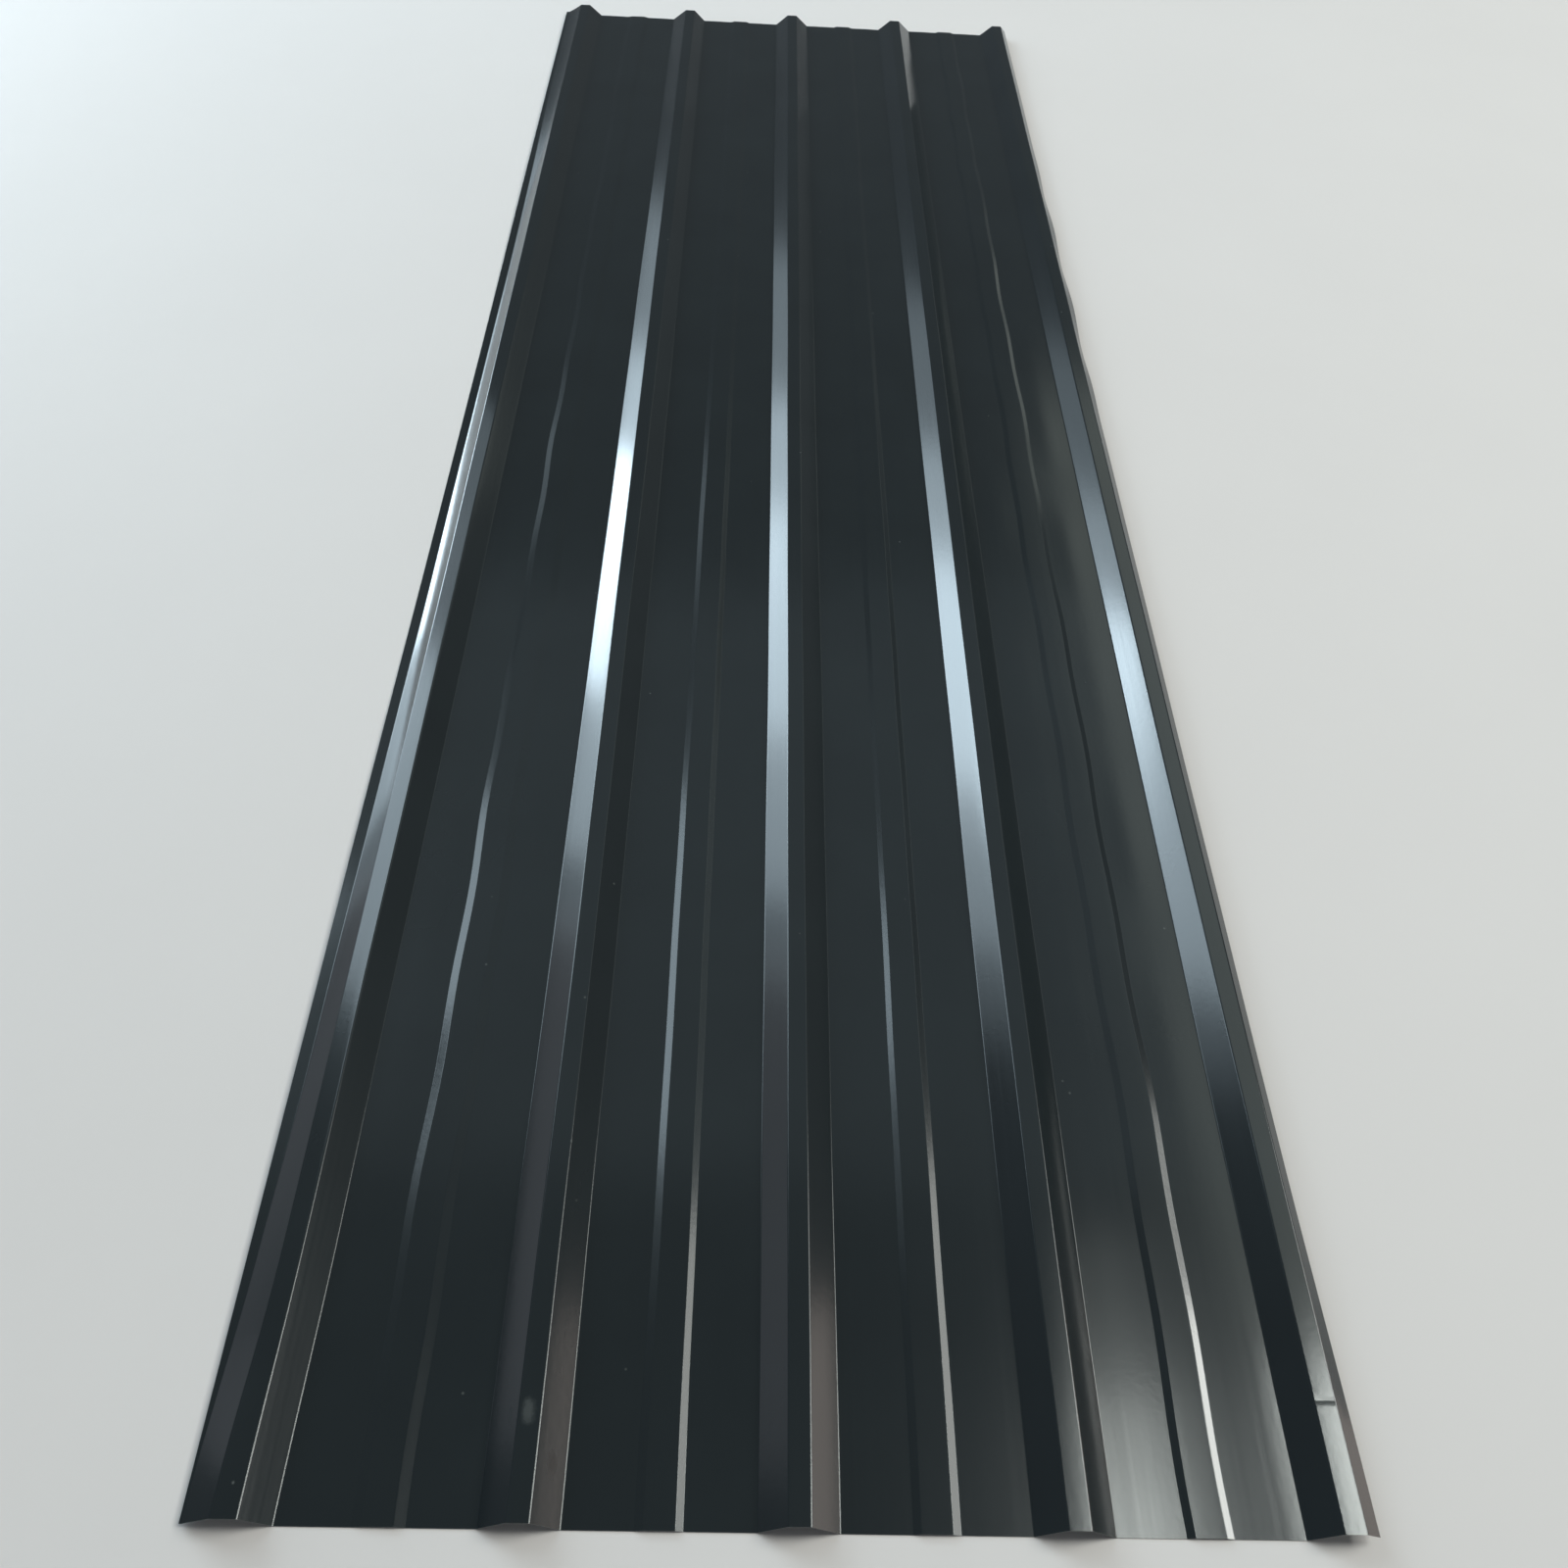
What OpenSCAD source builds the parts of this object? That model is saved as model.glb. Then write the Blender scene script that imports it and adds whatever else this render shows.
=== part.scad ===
// Ribbed roofing sheet, roll-formed from thin coated steel.
// The sheet lies on its pans with the ribs along Y. The origin is under the middle of the sheet.

/* [Sheet] */
// Length along the ribs
sheet_length = 3048; // [600:1:6000]
// Thickness of the coated steel
sheet_thickness = 0.5; // [0.3:0.05:0.8]
// Inside radius of every bend
bend_radius = 2.5; // [0.5:0.1:3]

/* [Ribs] */
// Number of ribs across the sheet
rib_count = 5; // [2:1:9]
// Distance from one rib to the next
rib_pitch = 228.6; // [180:0.1:320]
// Height over the sheet, from the underside of a pan to the top of a rib
rib_height = 21; // [15:0.5:35]
// Width of a rib's flat crown, from bend to bend
crown_width = 19; // [10:0.5:40]
// Distance across the sheet that a rib's sloping web covers
web_run = 24.5; // [10:0.5:35]

/* [Swages] */
// Rise of the low swage in the middle of each pan
swage_rise = 2.1; // [1.5:0.1:6]
// Width of the swage's flat top, from bend to bend
swage_top_width = 26.5; // [10:0.5:50]
// Distance across the sheet that a swage's sloping face covers
swage_face_run = 6.5; // [5:0.5:12]

/* [Lap edges] */
// Width of the flat foot outside the underlap rib, level with the pans
underlap_foot_width = 8.5; // [6:0.5:14]
// Drop of the overlap edge below the top of its rib
overlap_edge_drop = 9.5; // [6:0.5:13]

/* [Hidden] */

coat_color = "#2a3033";
// Flats that stand for the curve of one bend
bend_steps = 6;

// Heights of the sheet's middle surface on the pans and on the crowns
pan_level = sheet_thickness / 2;
crown_level = rib_height - sheet_thickness / 2;
middle_radius = bend_radius + sheet_thickness / 2;

// Reach of each long edge beyond the crown beside it
underlap_run = web_run + underlap_foot_width;
overlap_level = crown_level - overlap_edge_drop;
overlap_run = web_run * overlap_edge_drop / (crown_level - pan_level);

// The two edge legs differ, so the ribs stand off centre for the sheet's width to be centred
first_rib_x = (underlap_run - overlap_run - (rib_count - 1) * rib_pitch) / 2;

function rib_x(i) = first_rib_x + i * rib_pitch;

// The four bends of a rib, from left to right
function rib_corners(i, right_run, right_level) =
    let (half = crown_width / 2)
    [
        [rib_x(i) - half - web_run, pan_level],
        [rib_x(i) - half, crown_level],
        [rib_x(i) + half, crown_level],
        [rib_x(i) + half + right_run, right_level]
    ];

// The four bends of the swage in the pan that follows rib i
function swage_corners(i) =
    let (middle = rib_x(i) + rib_pitch / 2)
    let (half = swage_top_width / 2)
    [
        [middle - half - swage_face_run, pan_level],
        [middle - half, pan_level + swage_rise],
        [middle + half, pan_level + swage_rise],
        [middle + half + swage_face_run, pan_level]
    ];

// Every corner of the middle surface, from the underlap edge to the overlap edge
function sheet_corners() = [
    for (i = [0 : rib_count - 1])
        let (first = i == 0)
        let (last = i == rib_count - 1)
        each concat(
            first ? [[rib_x(i) - crown_width / 2 - underlap_run, pan_level]] : [],
            rib_corners(i, last ? overlap_run : web_run, last ? overlap_level : pan_level),
            last ? [] : swage_corners(i)
        )
];

function heading(a, b) = atan2(b.y - a.y, b.x - a.x);
function normal(angle) = [-sin(angle), cos(angle)];

// One bend at corner b, seen at a distance side to the left of the middle surface.
// The arc's centre lies inside the bend, where both legs are one middle radius away.
function bend(a, b, c, side) =
    let (from = heading(a, b))
    let (turn = heading(b, c) - from)
    let (way = sign(turn))
    let (centre = b + way * middle_radius / cos(turn / 2) * normal(from + turn / 2))
    [
        for (k = [0 : bend_steps])
            centre - way * (middle_radius - way * side) * normal(from + turn * k / bend_steps)
    ];

// The whole face that lies a distance side to the left of the middle surface
function face_line(corners, side) =
    let (last = len(corners) - 1)
    concat(
        [corners[0] + side * normal(heading(corners[0], corners[1]))],
        [for (i = [1 : last - 1]) each bend(corners[i - 1], corners[i], corners[i + 1], side)],
        [corners[last] + side * normal(heading(corners[last - 1], corners[last]))]
    );

function reversed(points) = [for (i = [len(points) - 1 : -1 : 0]) points[i]];

// The rolled section, across the sheet
module sheet_section() {
    corners = sheet_corners();
    top_line = face_line(corners, sheet_thickness / 2);
    under_line = face_line(corners, -sheet_thickness / 2);
    polygon(concat(top_line, reversed(under_line)));
}

module roofing_sheet() {
    color(coat_color)
        rotate([90, 0, 0])
            linear_extrude(height = sheet_length, center = true)
                sheet_section();
}

roofing_sheet();
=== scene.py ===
import math

import bpy
import numpy as np
from mathutils import Matrix, Quaternion, Vector


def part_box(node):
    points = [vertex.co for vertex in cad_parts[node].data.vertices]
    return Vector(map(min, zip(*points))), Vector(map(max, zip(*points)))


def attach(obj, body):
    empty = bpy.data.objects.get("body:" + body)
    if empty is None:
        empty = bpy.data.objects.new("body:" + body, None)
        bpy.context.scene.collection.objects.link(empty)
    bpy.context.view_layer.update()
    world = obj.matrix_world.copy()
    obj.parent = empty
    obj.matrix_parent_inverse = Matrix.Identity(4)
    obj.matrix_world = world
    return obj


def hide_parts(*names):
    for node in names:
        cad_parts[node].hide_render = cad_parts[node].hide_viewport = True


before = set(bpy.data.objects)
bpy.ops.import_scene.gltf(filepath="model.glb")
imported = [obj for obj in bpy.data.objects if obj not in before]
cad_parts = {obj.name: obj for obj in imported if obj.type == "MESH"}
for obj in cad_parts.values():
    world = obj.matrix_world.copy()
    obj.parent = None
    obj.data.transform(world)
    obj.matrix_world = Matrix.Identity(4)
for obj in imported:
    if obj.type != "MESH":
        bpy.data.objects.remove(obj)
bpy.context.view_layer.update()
sheetLow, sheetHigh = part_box("roofing_sheet")
print("frame loaded, sheet box", [round(v, 4) for v in sheetHigh - sheetLow])

# The rolled section in millimetres, as the steel was bent
section = {
    "ribs": 5,
    "ribPitch": 228.6,
    "length": (sheetHigh.y - sheetLow.y) * 1000,
    "ribHeight": (sheetHigh.z - sheetLow.z) * 1000,
    "thickness": 0.5,
    "bendRadius": 2.5,       # inside radius
    "crownWidth": 19.0,
    "webRun": 24.5,
    "swageRise": 2.1,
    "swageTop": 26.5,
    "swageFace": 6.5,
    "underlapFoot": 8.5,     # flat foot at the left edge
    "overlapDrop": 9.5,      # right edge, below the crown
    "bendSteps": 4,
    "flatStep": 9.0,         # points across a flat are at most this far apart
    "stationStep": 21.0,     # stations along the sheet
    "closeStep": 2.0,        # stations in the creased stretch
    "closeFrom": 92.0,
    "closeTo": 150.0,
    "sharpFrom": 50.0,       # degrees; only the cut edges turn by more
}

# How the sheet has moved out of true; distances are from the near end, in millimetres and degrees
wear = {
    "seed": 11,
    "phaseSpan": 6.28,               # random phases, up to about one turn
    "canHeight": 0.35,               # oil-canning of the pans
    "canWaves": (430.0, 265.0),
    "canFrom": 80.0,                 # the near end stays flat
    "canFull": 700.0,
    "swageWander": (2.2, 0.4, 0.4, 2.0),   # sideways, for each pan
    "swageWaves": (620.0, 235.0),
    "ribWander": 0.3,
    "ribWaves": (900.0, 410.0),
    "ribLean": (0.0, 2.7, 0.0, 0.0, 0.0),   # sideways shift of each crown over its feet
    "ribLeanNear": 0.45,             # share of it at the near end
    "ribLeanSpan": (100.0, 650.0),
    "crownTilt": 13.0,               # the free rib at the underlap edge leans outwards
    "crownTiltFull": 170.0,
    "crownTiltFade": 1150.0,
    "crownTiltEnd": 1870.0,
    "crownTiltLoss": 0.9,            # share of the lean that is gone at the far end
    "endSpread": (-6.8, -5.0, -2.5, -2.6),   # its four bends are pressed outwards at the near end
    "endSpreadLength": 230.0,
    "footLift": 3.6,                 # its foot springs clear of the floor at both ends
    "footLiftFade": (620.0, 1200.0),
    "farFootLift": 4.0,
    "farFootLiftRise": (1650.0, 2350.0),
    "footGain": 4.0,                 # its foot is wider than rolled, but narrower again towards the far end
    "footGainSpan": (200.0, 430.0),
    "footLoss": 7.0,
    "footLossSpan": (2050.0, 2800.0),
    "legHollow": 0.7,                # its leg is slightly hollow
    "legHollowSpan": (300.0, 800.0),
    "swageFaceLeft": (8.0, 7.3, 6.5, 6.5),   # the swages' faces were rolled unevenly
    "swageFaceRight": (9.5, 6.5, 6.5, 6.5),
    "shoulderDrop": 0.93,            # the first one's left shoulder is low,
    "shoulderFull": (470.0, 130.0),  # except about this place,
    "shoulderRegain": 0.45,          # and rises again further along
    "shoulderRegainSpan": (850.0, 1900.0),
    "legSteep": 5.0,                 # the overlap leg hangs steeper than it was rolled
    "legFlare": 15.0,                # and opens towards the near end
    "legFlareLength": 330.0,
    "legRipple": 7.0,                # and its edge is wavy further along
    "legRippleWave": 262.0,
    "legRippleFrom": 1500.0,
    "legRippleTo": 2500.0,
    "legRippleRamp": 250.0,          # the waves grow and die away over this length
    "creaseAt": 106.0,               # kink across the last crown
    "creaseDepth": 0.22,
    "creaseWidth": 2.6,
    "creaseInside": 2.0,             # it dies away about the crown's bends
    "creaseOutside": 1.0,
    "ledgeHeight": 0.12,             # the last pan turns up in a narrow ledge beside the last web's foot
    "ledgeWidth": 9.4,
    "ledgeFade": (150.0, 700.0),
    "dentAt": (128.0, 136.0),        # knocks on the second and third swages
    "dentDepth": 0.35,
    "dentWidth": (2.2, 3.4),         # across, along
}

# Corners of the section, counted from the underlap edge: the edge itself, then four a rib and four a swage
footEdge, footBend, crownLeft, crownRight = range(4)
firstSwage = 5
cornersPerPitch = 8


def smoothStep(value, start, end):
    # 3t^2 - 2t^3, where t runs from 0 at start to 1 at end
    t = np.clip((value - start) / (end - start), 0, 1)
    return t * t * (3 - 2 * t)


def mixedWave(along, lengths, phases):
    # Mean of sines of the given wavelengths, from -1 to 1
    waves = [np.sin(2 * np.pi * along / wave + phase) for wave, phase in zip(lengths, phases)]
    return sum(waves) / len(waves)


def bellCurve(along, at, width):
    # exp(-((y - at) / width)^2)
    return np.exp(-((along - at) / width) ** 2)


def stationLine():
    # Even steps along the sheet, closer ones across the creased stretch, and the far end
    even = np.arange(0, section["length"], section["stationStep"])
    close = np.arange(section["closeFrom"], section["closeTo"], section["closeStep"])
    return np.unique(np.concatenate([even, close, [section["length"]]]))


def overlapReach():
    # How far the short leg reaches beyond its crown, at the slope of a web
    s = section
    return s["webRun"] * s["overlapDrop"] / (s["ribHeight"] - s["thickness"])


def ribPlaces():
    # Centre lines of the ribs and of the pans' swages; the edges differ, so the ribs stand off centre
    s = section
    firstRib = (s["webRun"] + s["underlapFoot"] - overlapReach() - (s["ribs"] - 1) * s["ribPitch"]) / 2
    ribX = firstRib + s["ribPitch"] * np.arange(s["ribs"])
    return ribX, ribX[:-1] + s["ribPitch"] / 2


def cornerLines(along):
    # Bend corners of the middle surface at every station: [station, corner, (x, z)].
    # Each starts as a straight line along the sheet, and then the wear moves it.
    s, w = section, wear
    rng = np.random.default_rng(w["seed"])
    panLevel = s["thickness"] / 2
    crownLevel = s["ribHeight"] - s["thickness"] / 2
    swageLevel = panLevel + s["swageRise"]
    ribX, panX = ribPlaces()
    halfCrown, halfSwage = s["crownWidth"] / 2, s["swageTop"] / 2
    ribPart = np.array([[-halfCrown - s["webRun"], panLevel], [-halfCrown, crownLevel],
                        [halfCrown, crownLevel], [halfCrown + s["webRun"], panLevel]])
    swagePart = np.array([[-halfSwage - s["swageFace"], panLevel], [-halfSwage, swageLevel],
                          [halfSwage, swageLevel], [halfSwage + s["swageFace"], panLevel]])
    cornerCount = 1 + 4 * s["ribs"] + 4 * (s["ribs"] - 1)
    lines = np.zeros((len(along), cornerCount, 2))
    lines[:, footEdge] = ribX[0] - halfCrown - s["webRun"] - s["underlapFoot"], panLevel
    lean = w["ribLeanNear"] + (1 - w["ribLeanNear"]) * smoothStep(along, *w["ribLeanSpan"])
    for rib in range(s["ribs"]):
        first = footBend + cornersPerPitch * rib
        wander = w["ribWander"] * mixedWave(along, w["ribWaves"], rng.uniform(0, w["phaseSpan"], 2))
        lines[:, first:first + 4] = ribPart + np.array([ribX[rib], 0])
        lines[:, first:first + 4, 0] += wander[:, None]
        lines[:, first + 1:first + 3, 0] += (lean * w["ribLean"][rib])[:, None]
    for pan in range(s["ribs"] - 1):
        first = firstSwage + cornersPerPitch * pan
        wander = w["swageWander"][pan] * mixedWave(along, w["swageWaves"], rng.uniform(0, w["phaseSpan"], 2))
        lines[:, first:first + 4] = swagePart + np.array([panX[pan], 0])
        lines[:, first:first + 4, 0] += wander[:, None]
        lines[:, first, 0] -= w["swageFaceLeft"][pan] - s["swageFace"]
        lines[:, first + 3, 0] += w["swageFaceRight"][pan] - s["swageFace"]
    shoulder = firstSwage + 1
    lines[:, shoulder, 1] -= w["shoulderDrop"] * (1 - bellCurve(along, *w["shoulderFull"]))
    lines[:, shoulder, 1] += w["shoulderRegain"] * smoothStep(along, *w["shoulderRegainSpan"])

    # Underlap rib: its crown leans outwards by the tilt, and its near end is pressed outwards
    tilt = np.radians(w["crownTilt"]) * smoothStep(along, 0, w["crownTiltFull"])
    tilt = tilt * (1 - w["crownTiltLoss"] * smoothStep(along, w["crownTiltFade"], w["crownTiltEnd"]))
    lines[:, crownLeft, 0] = lines[:, crownRight, 0] - s["crownWidth"] * np.cos(tilt)
    lines[:, crownLeft, 1] = crownLevel - s["crownWidth"] * np.sin(tilt)
    lift = w["footLift"] * (1 - smoothStep(along, *w["footLiftFade"]))
    lift = lift + w["farFootLift"] * smoothStep(along, *w["farFootLiftRise"])
    lines[:, [footEdge, footBend], 1] += lift[:, None]
    lines[:, footBend, 0] += w["footGain"] * smoothStep(along, *w["footGainSpan"])
    lines[:, footBend, 0] -= w["footLoss"] * smoothStep(along, *w["footLossSpan"])
    nearEnd = 1 - smoothStep(along, 0, w["endSpreadLength"])
    lines[:, footBend:footBend + 4, 0] += nearEnd[:, None] * np.array(w["endSpread"])

    # Overlap rib: its short leg turns about the crown's bend
    run, drop = overlapReach(), s["overlapDrop"]
    legLength = math.hypot(run, drop)
    fall = np.arctan2(drop, run) * np.ones_like(along)
    opening = np.radians(w["legFlare"]) * (1 - smoothStep(along, 0, w["legFlareLength"]))
    fall += np.radians(w["legSteep"]) - opening
    inRipple = smoothStep(along, w["legRippleFrom"], w["legRippleFrom"] + w["legRippleRamp"])
    inRipple = inRipple * (1 - smoothStep(along, w["legRippleTo"] - w["legRippleRamp"], w["legRippleTo"]))
    fall -= np.radians(w["legRipple"]) * inRipple * np.sin(2 * np.pi * along / w["legRippleWave"])
    lines[:, -1, 0] = lines[:, -2, 0] + legLength * np.cos(fall)
    lines[:, -1, 1] = lines[:, -2, 1] - legLength * np.sin(fall)
    return lines


def headingNormal(angle):
    # Unit vector to the left of a heading: (-sin a, cos a)
    return np.stack([-np.sin(angle), np.cos(angle)], axis=-1)


def bentProfile(lines):
    # Rounds every corner to an arc of the middle radius and fills the flats with points:
    # arc = centre - way * radius * normal(heading + turn * k / steps), for k from 0 to steps.
    radius = section["bendRadius"] + section["thickness"] / 2
    steps = np.arange(section["bendSteps"] + 1) / section["bendSteps"]
    leg = np.diff(lines, axis=1)
    heading = np.arctan2(leg[..., 1], leg[..., 0])
    turn = np.diff(heading, axis=1)
    way = np.sign(turn)
    reach = way * radius / np.cos(turn / 2)
    centre = lines[:, 1:-1] + reach[..., None] * headingNormal(heading[:, :-1] + turn / 2)
    angle = heading[:, :-1, None] + turn[..., None] * steps
    arcs = centre[:, :, None] - (way * radius)[..., None, None] * headingNormal(angle)
    starts = np.concatenate([lines[:, :1], arcs[:, :, -1]], axis=1)
    ends = np.concatenate([arcs[:, :, 0], lines[:, -1:]], axis=1)
    spans = [lines[:, :1]]
    for flat in range(starts.shape[1]):
        flatLength = np.linalg.norm(ends[0, flat] - starts[0, flat])
        count = int(flatLength / section["flatStep"])
        share = ((np.arange(count) + 1) / (count + 1))[:, None]
        spans.append(starts[:, flat, None] + share * (ends - starts)[:, flat, None])
        if flat < arcs.shape[1]:
            spans.append(arcs[:, flat])
    spans.append(lines[:, -1:])
    return np.concatenate(spans, axis=1)


def knocks(profile, along):
    # Drop of the kinked crown and of two knocks: depth * bell along * (flat window or bell) across
    s, w = section, wear
    ribX, panX = ribPlaces()
    half = s["crownWidth"] / 2
    offCrown = np.abs(profile[..., 0] - ribX[-1])
    drop = w["creaseDepth"] * bellCurve(along, w["creaseAt"], w["creaseWidth"])[:, None]
    drop = drop * (1 - smoothStep(offCrown, half - w["creaseInside"], half + w["creaseOutside"]))
    for middle, at in zip(panX[1:3], w["dentAt"]):
        face = middle + (s["swageTop"] + s["swageFace"]) / 2
        across, lengthwise = w["dentWidth"]
        drop = drop + (w["dentDepth"] * bellCurve(along, at, lengthwise)[:, None]
                       * bellCurve(profile[..., 0], face, across))
    return drop


def oilCanning(profile, along):
    # Low swells of the flats beside each swage, upwards only:
    # height * sin^2 across * (1 + wave along) / 2 * step along
    s, w = section, wear
    panX = ribPlaces()[1]
    rng = np.random.default_rng(w["seed"] + 1)
    phases = rng.uniform(0, w["phaseSpan"], (s["ribs"] - 1, 2, 2))
    swageFoot = s["swageTop"] / 2 + s["swageFace"]
    webFoot = s["ribPitch"] / 2 - s["crownWidth"] / 2 - s["webRun"]
    swell = np.zeros(profile.shape[:2])
    for pan in range(s["ribs"] - 1):
        for side in (0, 1):
            local = (profile[..., 0] - panX[pan]) * (2 * side - 1)
            across = np.clip((local - swageFoot) / (webFoot - swageFoot), 0, 1)
            rise = (1 + mixedWave(along, w["canWaves"], phases[pan, side])) / 2
            rise = rise * smoothStep(along, w["canFrom"], w["canFull"])
            swell += np.sin(np.pi * across) ** 2 * rise[:, None]
    return w["canHeight"] * swell


def footLedge(profile, along):
    # Tent beside the last web's foot, u millimetres from it:
    # height * min(u / width, (flat - u) / (flat - width)) * fade along
    s, w = section, wear
    foot = ribPlaces()[0][-1] - s["crownWidth"] / 2 - s["webRun"]
    flat = (s["ribPitch"] - s["crownWidth"] - s["swageTop"]) / 2 - s["webRun"] - s["swageFace"]
    fromFoot = foot - profile[..., 0]
    tent = np.minimum(fromFoot / w["ledgeWidth"], (flat - fromFoot) / (flat - w["ledgeWidth"]))
    return w["ledgeHeight"] * np.clip(tent, 0, 1) * (1 - smoothStep(along, *w["ledgeFade"]))[:, None]


def legHollow(profile, lines, along):
    # Sag of the underlap leg between its two bends: depth * 4u(1 - u) * step along, u from 0 to 1 across it
    foot, head = lines[:, footBend, 0], lines[:, crownLeft, 0]
    u = np.clip((profile[..., 0] - foot[:, None]) / (head - foot)[:, None], 0, 1)
    return wear["legHollow"] * 4 * u * (1 - u) * smoothStep(along, *wear["legHollowSpan"])[:, None]


def sheetMesh(name):
    # The bent profile carried along the stations, half the thickness to either side, closed at all four edges
    along = stationLine()
    lines = cornerLines(along)
    middle = bentProfile(lines)
    middle[..., 1] += oilCanning(middle, along) + footLedge(middle, along)
    middle[..., 1] -= knocks(middle, along) + legHollow(middle, lines, along)
    tangent = np.gradient(middle, axis=1)
    slope = np.arctan2(tangent[..., 1], tangent[..., 0])
    offset = headingNormal(slope) * section["thickness"] / 2
    stations, points = middle.shape[:2]
    place = np.zeros((2, stations, points, 3))   # weather face, then underside
    place[0][..., [0, 2]] = middle + offset
    place[1][..., [0, 2]] = middle - offset
    place[..., 1] = (along - section["length"] / 2)[:, None]
    place[..., 2] = np.maximum(place[..., 2], 0)   # nothing reaches below the floor

    number = np.arange(place[..., 0].size).reshape(2, stations, points)
    top, under = number

    def strips(a, b, c, d):
        return np.stack([a.ravel(), b.ravel(), c.ravel(), d.ravel()], axis=-1)

    weather = strips(top[:-1, :-1], top[:-1, 1:], top[1:, 1:], top[1:, :-1])
    backing = strips(under[:-1, :-1], under[1:, :-1], under[1:, 1:], under[:-1, 1:])
    cuts = np.concatenate([
        strips(top[:-1, 0], top[1:, 0], under[1:, 0], under[:-1, 0]),
        strips(top[:-1, -1], under[:-1, -1], under[1:, -1], top[1:, -1]),
        strips(top[0, :-1], under[0, :-1], under[0, 1:], top[0, 1:]),
        strips(top[-1, :-1], top[-1, 1:], under[-1, 1:], under[-1, :-1]),
    ])
    faces = np.concatenate([weather, backing, cuts])
    slots = np.repeat([0, 1, 2], [len(weather), len(backing), len(cuts)])

    mesh = bpy.data.meshes.new(name)
    mesh.from_pydata(place.reshape(-1, 3) / 1000, [], faces)
    mesh.polygons.foreach_set("material_index", slots.astype(np.int32))
    mesh.polygons.foreach_set("use_smooth", np.ones(len(faces), dtype=bool))
    mesh.update()
    mesh.set_sharp_from_angle(angle=math.radians(section["sharpFrom"]))
    return mesh


def hexColor(text):
    # sRGB hex to linear red, green, blue and alpha
    values = np.array([int(text[i:i + 2], 16) for i in (1, 3, 5)]) / 255
    linear = np.where(values <= 0.04045, values / 12.92, ((values + 0.055) / 1.055) ** 2.4)
    return (*linear.tolist(), 1.0)


def addNode(tree, kind, inputs=None, **settings):
    # One node: settings are its own options, inputs are values, or sockets to link from
    node = tree.nodes.new(kind)
    for name, value in settings.items():
        setattr(node, name, value)
    for name, value in (inputs or {}).items():
        if isinstance(value, bpy.types.NodeSocket):
            tree.links.new(value, node.inputs[name])
        else:
            node.inputs[name].default_value = value
    return node


# Sockets of a Mix node that mixes colours: its share, its two colours and its result
mixShare, mixFrom, mixTo, mixResult = 0, 6, 7, 2


def newMaterial(name):
    material = bpy.data.materials.new(name)
    material.use_nodes = True
    tree = material.node_tree
    shader = tree.nodes["Principled BSDF"]
    coords = tree.nodes.new("ShaderNodeTexCoord").outputs["Object"]
    return material, tree, shader, coords


def perMetre(millimetres):
    # Texture scale that repeats about once in a real size
    return 1000 / millimetres


# Marks on the weather face: place from the origin in millimetres, half sizes, and what they do
marks = {
    "dustOnCrown": {"at": (-217.2, -1438, 21), "half": (8, 15, 6), "dust": 0.10, "rough": 0.22},
    "dustOnWeb": {"at": (-233.4, -1440, 18), "half": (3, 11, 6), "dust": 0.05, "rough": 0.12},
    "damp": {"at": (-194.6, -1476, 10), "half": (5.5, 15, 8), "dust": -0.5, "rough": 0.05},
    "speck": {"at": (-448.2, -1497, 21), "half": (1.8, 2.2, 4), "dust": 0.22, "rough": 0.2},
}

paint = {
    "deep": "#1b2022",
    "faded": "#22282a",
    "dust": "#8d918c",
    "damp": "#0c0e0f",
    "clouds": 140.0,         # millimetres, drifts of tone in the film
    "streakAcross": 3.0,     # roller streaks; the real ones are finer, drawn coarser to show
    "streakAlong": 700.0,
    "peel": 6.0,             # orange peel; about 1 mm on the real film, drawn coarser to show
    "peelStrength": 0.12,
    "peelHeight": 0.0002,    # metres
    "specks": 55.0,          # spacing of dust specks
    "speckEdge": (0.012, 0.03),   # their radius as shares of it, full and faded out
    "speckTone": 0.22,
    "markGrain": 7.0,        # the marks' ragged outlines
    "markRagged": 0.9,
    "markEdge": (0.75, 1.35),
    "ior": 1.52,
    "rough": (0.125, 0.145),
}


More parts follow.
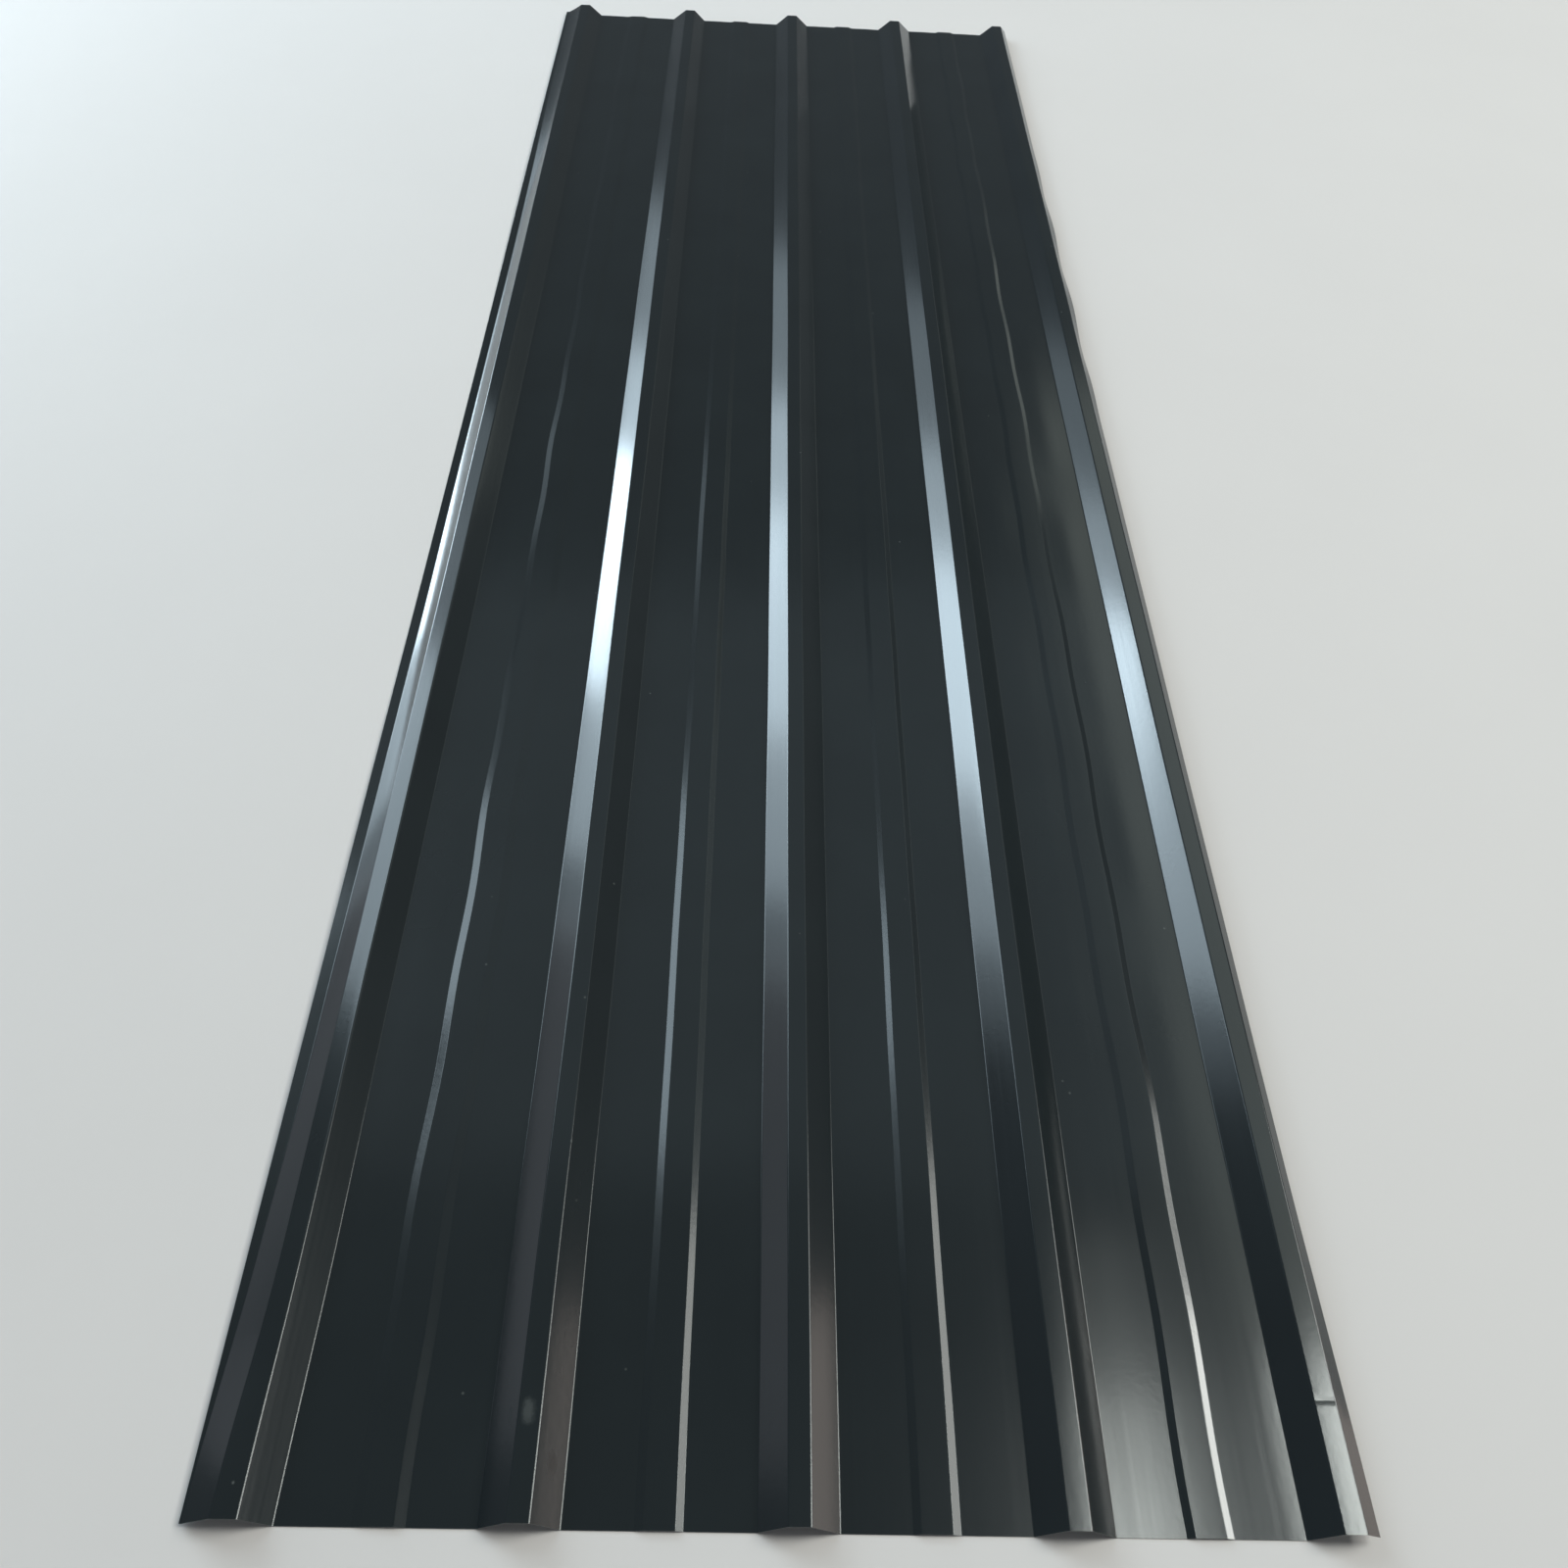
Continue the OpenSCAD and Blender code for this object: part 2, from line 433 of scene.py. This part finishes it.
def coilCoat():
    # Coil-coated steel, weather face: a charcoal polyester film, rolled on and baked, smooth and glossy.
    # It gives a near-black body with clear, slightly soft reflections, faint streaks and a little dust.
    material, tree, shader, coords = newMaterial("coilCoatedSteelCharcoal")
    clouds = addNode(tree, "ShaderNodeTexNoise", {
        "Vector": coords, "Scale": perMetre(paint["clouds"]), "Detail": 3.0, "Roughness": 0.55})
    body = addNode(tree, "ShaderNodeMix", {
        mixShare: clouds.outputs[0], mixFrom: hexColor(paint["deep"]), mixTo: hexColor(paint["faded"])},
        data_type="RGBA")
    across, lengthwise = perMetre(paint["streakAcross"]), perMetre(paint["streakAlong"])
    drawn = addNode(tree, "ShaderNodeMapping", {"Vector": coords, "Scale": (across, lengthwise, across)})
    streaks = addNode(tree, "ShaderNodeTexNoise", {"Vector": drawn.outputs[0], "Scale": 1.0, "Detail": 2.0})
    film = addNode(tree, "ShaderNodeMapRange", {
        "Value": streaks.outputs[0], "From Min": 0.3, "From Max": 0.7,
        "To Min": paint["rough"][0], "To Max": paint["rough"][1]})
    colour, rough = body.outputs[mixResult], film.outputs[0]

    # Fine dust: a small faint speck about the middle of each cell
    cells = addNode(tree, "ShaderNodeTexVoronoi", {"Vector": coords, "Scale": perMetre(paint["specks"])})
    fullAt, goneAt = paint["speckEdge"]
    speck = addNode(tree, "ShaderNodeMapRange", {
        "Value": cells.outputs["Distance"], "From Min": fullAt, "From Max": goneAt,
        "To Min": paint["speckTone"], "To Max": 0.0})
    dusty = addNode(tree, "ShaderNodeMix", {
        mixShare: speck.outputs[0], mixFrom: colour, mixTo: hexColor(paint["dust"])}, data_type="RGBA")
    colour = dusty.outputs[mixResult]

    # Marks: a ragged ellipsoid about each place
    ragged = addNode(tree, "ShaderNodeTexNoise", {
        "Vector": coords, "Scale": perMetre(paint["markGrain"]), "Detail": 4.0})
    for mark in marks.values():
        place = addNode(tree, "ShaderNodeMapping", {
            "Vector": coords,
            "Location": [-at / half for at, half in zip(mark["at"], mark["half"])],
            "Scale": [perMetre(half) for half in mark["half"]]})
        far = addNode(tree, "ShaderNodeVectorMath", {0: place.outputs[0]}, operation="LENGTH")
        uneven = addNode(tree, "ShaderNodeMath", {
            0: ragged.outputs[0], 1: paint["markRagged"], 2: far.outputs["Value"]}, operation="MULTIPLY_ADD")
        shape = addNode(tree, "ShaderNodeMapRange", {
            "Value": uneven.outputs[0], "From Min": paint["markEdge"][0], "From Max": paint["markEdge"][1],
            "To Min": 1.0, "To Max": 0.0})
        tone = addNode(tree, "ShaderNodeMath", {
            0: shape.outputs[0], 1: abs(mark["dust"])}, operation="MULTIPLY")
        settled = hexColor(paint["dust"] if mark["dust"] > 0 else paint["damp"])
        marked = addNode(tree, "ShaderNodeMix", {
            mixShare: tone.outputs[0], mixFrom: colour, mixTo: settled}, data_type="RGBA")
        dulled = addNode(tree, "ShaderNodeMath", {
            0: shape.outputs[0], 1: mark["rough"], 2: rough}, operation="MULTIPLY_ADD")
        colour, rough = marked.outputs[mixResult], dulled.outputs[0]

    peel = addNode(tree, "ShaderNodeTexNoise", {
        "Vector": coords, "Scale": perMetre(paint["peel"]), "Detail": 2.0})
    bump = addNode(tree, "ShaderNodeBump", {
        "Height": peel.outputs[0], "Strength": paint["peelStrength"], "Distance": paint["peelHeight"]})
    tree.links.new(colour, shader.inputs["Base Color"])
    tree.links.new(rough, shader.inputs["Roughness"])
    tree.links.new(bump.outputs[0], shader.inputs["Normal"])
    shader.inputs["IOR"].default_value = paint["ior"]
    return material


backer = {
    "thin": "#7d8281",
    "thick": "#8e9392",
    "streakAcross": 6.0,     # millimetres
    "streakAlong": 500.0,
    "ior": 1.5,
    "rough": (0.48, 0.62),
}


def backerCoat():
    # Backer coat on the underside: a thin grey epoxy wash, matt, streaked by the roller that laid it.
    material, tree, shader, coords = newMaterial("epoxyBackerCoatGrey")
    across, lengthwise = perMetre(backer["streakAcross"]), perMetre(backer["streakAlong"])
    drawn = addNode(tree, "ShaderNodeMapping", {"Vector": coords, "Scale": (across, lengthwise, across)})
    streaks = addNode(tree, "ShaderNodeTexNoise", {"Vector": drawn.outputs[0], "Scale": 1.0, "Detail": 3.0})
    wash = addNode(tree, "ShaderNodeMix", {
        mixShare: streaks.outputs[0], mixFrom: hexColor(backer["thin"]), mixTo: hexColor(backer["thick"])},
        data_type="RGBA")
    film = addNode(tree, "ShaderNodeMapRange", {
        "Value": streaks.outputs[0], "To Min": backer["rough"][0], "To Max": backer["rough"][1]})
    tree.links.new(wash.outputs[mixResult], shader.inputs["Base Color"])
    tree.links.new(film.outputs[0], shader.inputs["Roughness"])
    shader.inputs["IOR"].default_value = backer["ior"]
    return material


cutEdge = {
    "dull": "#6f7476",
    "bright": "#a3a8a9",
    "score": 3.0,            # millimetres, the blade's marks
    "rough": (0.32, 0.5),
}


def shearedEdge():
    # Sheared zinc-coated steel at the cut edges: bare bright metal, scored across by the blade.
    material, tree, shader, coords = newMaterial("shearedZincCoatedSteel")
    score = addNode(tree, "ShaderNodeTexNoise", {
        "Vector": coords, "Scale": perMetre(cutEdge["score"]), "Detail": 3.0})
    tone = addNode(tree, "ShaderNodeMix", {
        mixShare: score.outputs[0], mixFrom: hexColor(cutEdge["dull"]), mixTo: hexColor(cutEdge["bright"])},
        data_type="RGBA")
    worn = addNode(tree, "ShaderNodeMapRange", {
        "Value": score.outputs[0], "To Min": cutEdge["rough"][0], "To Max": cutEdge["rough"][1]})
    tree.links.new(tone.outputs[mixResult], shader.inputs["Base Color"])
    tree.links.new(worn.outputs[0], shader.inputs["Roughness"])
    shader.inputs["Metallic"].default_value = 1.0
    return material


sheetPiece = bpy.data.objects.new("roofingSheet", sheetMesh("roofingSheet"))
bpy.context.collection.objects.link(sheetPiece)
for finish in (coilCoat(), backerCoat(), shearedEdge()):
    sheetPiece.data.materials.append(finish)
flats = sheetPiece.modifiers.new("evenFlats", "WEIGHTED_NORMAL")   # flats stay flat up to each bend
flats.keep_sharp = True
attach(sheetPiece, "root")
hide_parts("roofing_sheet")
print("sheet built,", len(sheetPiece.data.polygons), "faces")

# Plain pale floor, far larger than the view: metres, but the mottle is in millimetres
floorPlan = {
    "half": 45.0,
    "level": -0.0004,
    "pale": "#dfd9d6",
    "mottled": "#dbd5d2",
    "mottle": 350.0,
    "rough": 0.7,
}


def paleFloor():
    # Sealed pale concrete: even and matt, with a faint mottle
    side = np.array([-1, 1]) * floorPlan["half"]
    x, y = np.meshgrid(side, side)
    place = np.stack([x.ravel(), y.ravel(), np.full(4, floorPlan["level"])], axis=-1)
    mesh = bpy.data.meshes.new("floor")
    mesh.from_pydata(place, [], [(0, 1, 3, 2)])
    floor = bpy.data.objects.new("floor", mesh)
    bpy.context.collection.objects.link(floor)
    material, tree, shader, coords = newMaterial("sealedConcretePale")
    mottle = addNode(tree, "ShaderNodeTexNoise", {
        "Vector": coords, "Scale": perMetre(floorPlan["mottle"]), "Detail": 4.0})
    tone = addNode(tree, "ShaderNodeMix", {
        mixShare: mottle.outputs[0], mixFrom: hexColor(floorPlan["mottled"]),
        mixTo: hexColor(floorPlan["pale"])}, data_type="RGBA")
    tree.links.new(tone.outputs[mixResult], shader.inputs["Base Color"])
    shader.inputs["Roughness"].default_value = floorPlan["rough"]
    mesh.materials.append(material)
    return floor


paleFloor()

# Soft boxes, as seen from the sheet: toward is in degrees right of +Y and above the floor, away is in metres,
# and fill is the angle that the box takes up, wide and tall
skyWhite = "#dcf2ff"
softWhite = "#fcfffa"
softBoxes = {
    "leftLow": {"toward": (-44.5, 3.1), "away": 6.5, "fill": (12, 6), "radiance": 13.0, "colour": skyWhite},
    "leftMiddle": {"toward": (-44.5, 10), "away": 6.5, "fill": (12, 8), "radiance": 2.8, "colour": skyWhite},
    "leftHigh": {"toward": (-44.5, 17.5), "away": 6.5, "fill": (12, 7), "radiance": 6.0, "colour": skyWhite},
    "leftPeak": {"toward": (-46, 23.5), "away": 6.5, "fill": (14, 5), "radiance": 12.5, "colour": skyWhite},
    "leftUpper": {"toward": (-51, 41), "away": 6.5, "fill": (16, 30), "radiance": 3.8, "colour": skyWhite},
    "leftHalo": {"toward": (-46, 13.6), "away": 7, "fill": (26, 27), "radiance": 2.4, "colour": skyWhite},
    "leftGlow": {"toward": (-44, 17.5), "away": 8, "fill": (36, 34), "radiance": 0.9, "colour": skyWhite},
    "leftFar": {"toward": (-73, 9.5), "away": 8, "fill": (24, 18), "radiance": 0.4, "colour": "#ecf0fa"},
    "right": {"toward": (77, 44), "away": 20, "fill": (26, 24), "radiance": 4.5, "colour": softWhite},
    "rightLow": {"toward": (84, 35), "away": 20, "fill": (22, 5), "radiance": 11.0, "colour": softWhite},
    "rightWarm": {"toward": (80.5, 7), "away": 20, "fill": (15, 13), "radiance": 1.5, "colour": "#fff0e6"},
    "rightGlint": {"toward": (30, 19), "away": 20, "fill": (10, 4.5), "radiance": 0.6, "colour": "#f4fff4"},
    "ahead": {"toward": (0, 55), "away": 20, "fill": (70, 26), "radiance": 0.2, "colour": "#dcf0fa"},
}

# Panels overhead that face the floor: place and size in metres
ceilingHeight = 8.0
panelWhite = "#f8fffa"
ceilingPanels = {
    "nearStrip": {"at": (2.565, -0.27), "size": (0.45, 1.60), "radiance": 12.0, "colour": panelWhite},
    "nearStripLonger": {"at": (2.565, 0.00), "size": (0.45, 2.14), "radiance": 8.0, "colour": panelWhite},
    "nearStripFaint": {"at": (2.565, 0.24), "size": (0.45, 2.62), "radiance": 1.9, "colour": panelWhite},
    "nearStripFaintest": {"at": (2.565, 0.54), "size": (0.45, 3.22), "radiance": 1.1, "colour": panelWhite},
    "nearPanel": {"at": (4.24, 0.14), "size": (0.92, 2.40), "radiance": 15.0, "colour": panelWhite},
    "dimPanel": {"at": (4.20, 7.00), "size": (1.80, 11.0), "radiance": 0.65, "colour": "#f4fff4"},
}

room = {"colour": "#e8f2fa", "strength": 0.15}


def areaLamp(name, place, facing, size, look):
    # Rectangle that faces along its own -Z; its power gives the wanted radiance over its own area
    lamp = bpy.data.lights.new(name, "AREA")
    lamp.shape = "RECTANGLE"
    lamp.size, lamp.size_y = size
    lamp.energy = 4 * look["radiance"] * size[0] * size[1]
    lamp.color = hexColor(look["colour"])[:3]
    holder = bpy.data.objects.new(name, lamp)
    holder.location = place
    holder.rotation_mode = "QUATERNION"
    holder.rotation_quaternion = facing
    holder.visible_camera = False
    bpy.context.collection.objects.link(holder)


for name, box in softBoxes.items():
    azimuth, elevation = (math.radians(angle) for angle in box["toward"])
    toward = Vector((math.sin(azimuth) * math.cos(elevation), math.cos(azimuth) * math.cos(elevation),
                     math.sin(elevation)))
    size = [2 * box["away"] * math.tan(math.radians(angle / 2)) for angle in box["fill"]]
    areaLamp(name, toward * box["away"], toward.to_track_quat("Z", "Y"), size, box)
for name, panel in ceilingPanels.items():
    areaLamp(name, (*panel["at"], ceilingHeight), Quaternion(), panel["size"], panel)
world = bpy.data.worlds.new("dimRoom")
world.use_nodes = True
world.node_tree.nodes["Background"].inputs["Color"].default_value = hexColor(room["colour"])
world.node_tree.nodes["Background"].inputs["Strength"].default_value = room["strength"]
bpy.context.scene.world = world
print("studio lit,", len(softBoxes) + len(ceilingPanels), "lamps")

# The view, from above the near end and down the sheet: the lens in pixels of the frame, angles in degrees,
# and the place in millimetres from the middle rib, the near end and the floor
view = {
    "focalPixels": 1432.4,
    "framePixels": 1600,
    "sensor": 36.0,
    "clipEnd": 200.0,        # metres
    "down": 49.194,
    "turn": -3.147,
    "roll": 4.276,
    "fromRib": -73.5,
    "beforeNearEnd": 285.0,
    "height": 1269.9,
}


def camera():
    # Forward and right turned about Z, then the frame rolled about the line of sight
    down, turn, roll = (math.radians(view[key]) for key in ("down", "turn", "roll"))
    swing = Matrix.Rotation(turn, 3, "Z")
    forward = swing @ Vector((0, math.cos(down), -math.sin(down)))
    right = swing @ Vector((1, 0, 0))
    up = right.cross(forward)
    rolledRight = math.cos(roll) * right + math.sin(roll) * up
    rolledUp = -math.sin(roll) * right + math.cos(roll) * up
    lens = bpy.data.cameras.new("view")
    lens.sensor_width = view["sensor"]
    lens.lens = view["sensor"] * view["focalPixels"] / view["framePixels"]
    lens.clip_end = view["clipEnd"]
    holder = bpy.data.objects.new("view", lens)
    turnMatrix = Matrix((rolledRight, rolledUp, -forward)).transposed()
    middleRib = ribPlaces()[0][section["ribs"] // 2]
    place = Vector((middleRib + view["fromRib"], -section["length"] / 2 - view["beforeNearEnd"],
                    view["height"])) / 1000
    holder.matrix_world = Matrix.Translation(place) @ turnMatrix.to_4x4()
    bpy.context.collection.objects.link(holder)
    bpy.context.scene.camera = holder


camera()
bpy.context.scene.view_settings.view_transform = "Standard"
print("camera set")
